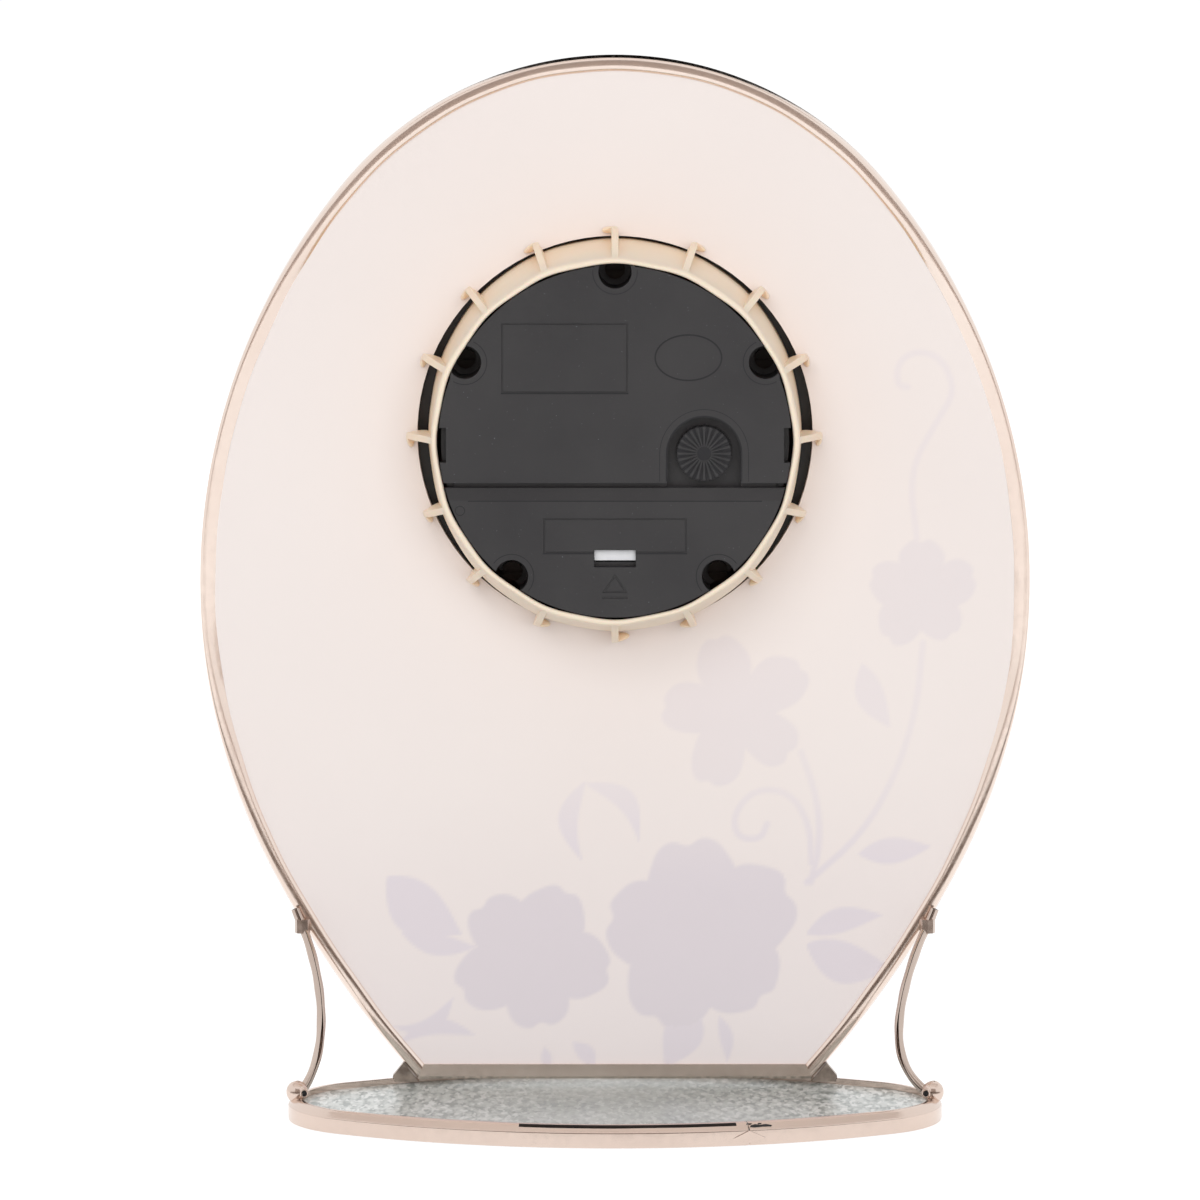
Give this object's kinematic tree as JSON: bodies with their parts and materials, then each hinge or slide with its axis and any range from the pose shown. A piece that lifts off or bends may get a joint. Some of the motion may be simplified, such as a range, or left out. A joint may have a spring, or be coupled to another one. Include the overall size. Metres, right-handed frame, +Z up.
{
  "type": "pendulette clock",
  "caption": "Small standing clock: egg-shaped printed glass panel in a metal strip frame on an oval glass foot, with a round quartz insert seen from the back.",
  "frame": {"origin": "centre of the bounding box at the underside of the foot", "axes": "+Z up, the dial faces -Y and the back cover faces +Y"},
  "size_m": [0.158, 0.062, 0.1998],
  "materials": {
    "opal_glass": "satin opal",
    "plated_strip": "bright rose tinted nickel",
    "rim_strip": "bright rose tinted nickel",
    "ripple_glass": "rippled clear",
    "solder": "satin",
    "cream_vinyl": "satin",
    "black_plastic": "satin",
    "dial_white": "matte",
    "gilt_brass": "polished",
    "clear_lens": "clear",
    "black_paint": "satin",
    "white_nylon": "satin",
    "steel": "satin",
    "magnet_grey": "matte",
    "copper_wire": "enamelled",
    "green_board": "gloss",
    "cell_silver": "satin"
  },
  "bodies": {
    "stand": {"panel_glass": "opal_glass", "panel_frame": "plated_strip", "panel_sill": "plated_strip", "base_rim": "rim_strip", "base_glass": "ripple_glass", "left_support": "plated_strip", "right_support": "plated_strip", "foot_solder": "solder", "collar_solder": "solder", "panel_tabs": "solder", "rim_solder": "solder", "mounting_band": "cream_vinyl", "case_cup": "black_plastic", "dial": "dial_white", "hour_bars": "gilt_brass", "lens_spacer": "gilt_brass", "lens": "clear_lens", "bezel": "gilt_brass", "middle_plate": "white_nylon", "train_bridge": "white_nylon", "stator": "steel", "coil_core": "steel", "coil_bobbin": "white_nylon", "coil_winding": "copper_wire", "circuit_board": "green_board", "chip_dome": "black_plastic", "quartz_crystal": "steel", "positive_contact": "steel", "negative_contact": "steel", "back_cover": "black_plastic", "cover_screws": "steel"},
    "second_set": {"second_wheel": "white_nylon", "second_arbor": "steel", "second_hand": "gilt_brass"},
    "third_set": {"third_wheel": "white_nylon"},
    "centre_set": {"centre_wheel": "white_nylon"},
    "intermediate_set": {"intermediate_wheel": "white_nylon"},
    "rotor_set": {"rotor_pinion": "white_nylon", "rotor_magnet": "magnet_grey"},
    "minute_set": {"minute_pinion": "white_nylon", "minute_hand": "black_paint"},
    "hour_set": {"hour_wheel": "white_nylon", "hour_hand": "black_paint"},
    "motion_set": {"motion_wheel": "white_nylon"},
    "knob_set": {"setting_knob": "black_plastic"},
    "door": {"battery_door": "black_plastic"},
    "cell_out": {"cell": "cell_silver"}
  },
  "joints": [
    {"name": "second_spin", "type": "hinge", "parent": "stand", "child": "second_set", "pos_m": [0, -0.0185, 0.12821], "axis": [0, 1, 0], "continuous": true},
    {"name": "third_spin", "type": "hinge", "parent": "stand", "child": "third_set", "pos_m": [0.00736, -0.0185, 0.13246], "axis": [0, 1, 0], "continuous": true},
    {"name": "centre_spin", "type": "hinge", "parent": "stand", "child": "centre_set", "pos_m": [0, -0.0185, 0.12821], "axis": [0, 1, 0], "continuous": true},
    {"name": "intermediate_spin", "type": "hinge", "parent": "stand", "child": "intermediate_set", "pos_m": [-0.00125, -0.0185, 0.1353], "axis": [0, 1, 0], "continuous": true},
    {"name": "rotor_spin", "type": "hinge", "parent": "stand", "child": "rotor_set", "pos_m": [-0.00475, -0.0185, 0.14136], "axis": [0, 1, 0], "continuous": true},
    {"name": "minute_spin", "type": "hinge", "parent": "stand", "child": "minute_set", "pos_m": [0, -0.0185, 0.12821], "axis": [0, 1, 0], "continuous": true},
    {"name": "hour_spin", "type": "hinge", "parent": "stand", "child": "hour_set", "pos_m": [0, -0.0185, 0.12821], "axis": [0, 1, 0], "continuous": true},
    {"name": "motion_spin", "type": "hinge", "parent": "stand", "child": "motion_set", "pos_m": [-0.00833, -0.0185, 0.12711], "axis": [0, 1, 0], "continuous": true},
    {"name": "knob_spin", "type": "hinge", "parent": "stand", "child": "knob_set", "pos_m": [-0.01665, -0.0185, 0.12601], "axis": [0, 1, 0], "continuous": true},
    {"name": "door_lift", "type": "slide", "parent": "stand", "child": "door", "axis": [0, 1, 0], "range_m": [0, 0.024]},
    {"name": "cell_lift", "type": "slide", "parent": "stand", "child": "cell_out", "axis": [0, 1, 0], "range_m": [0, 0.012]}
  ],
  "couplings": [
    {"joint": "third_spin", "follows": "second_spin", "ratio": -0.13333},
    {"joint": "centre_spin", "follows": "second_spin", "ratio": 0.016667},
    {"joint": "intermediate_spin", "follows": "second_spin", "ratio": -5},
    {"joint": "rotor_spin", "follows": "second_spin", "ratio": 30},
    {"joint": "hour_spin", "follows": "minute_spin", "ratio": 0.083333},
    {"joint": "motion_spin", "follows": "minute_spin", "ratio": -0.33333},
    {"joint": "knob_spin", "follows": "minute_spin", "ratio": 1},
    {"joint": "cell_lift", "follows": "door_lift", "ratio": 0.5}
  ]
}
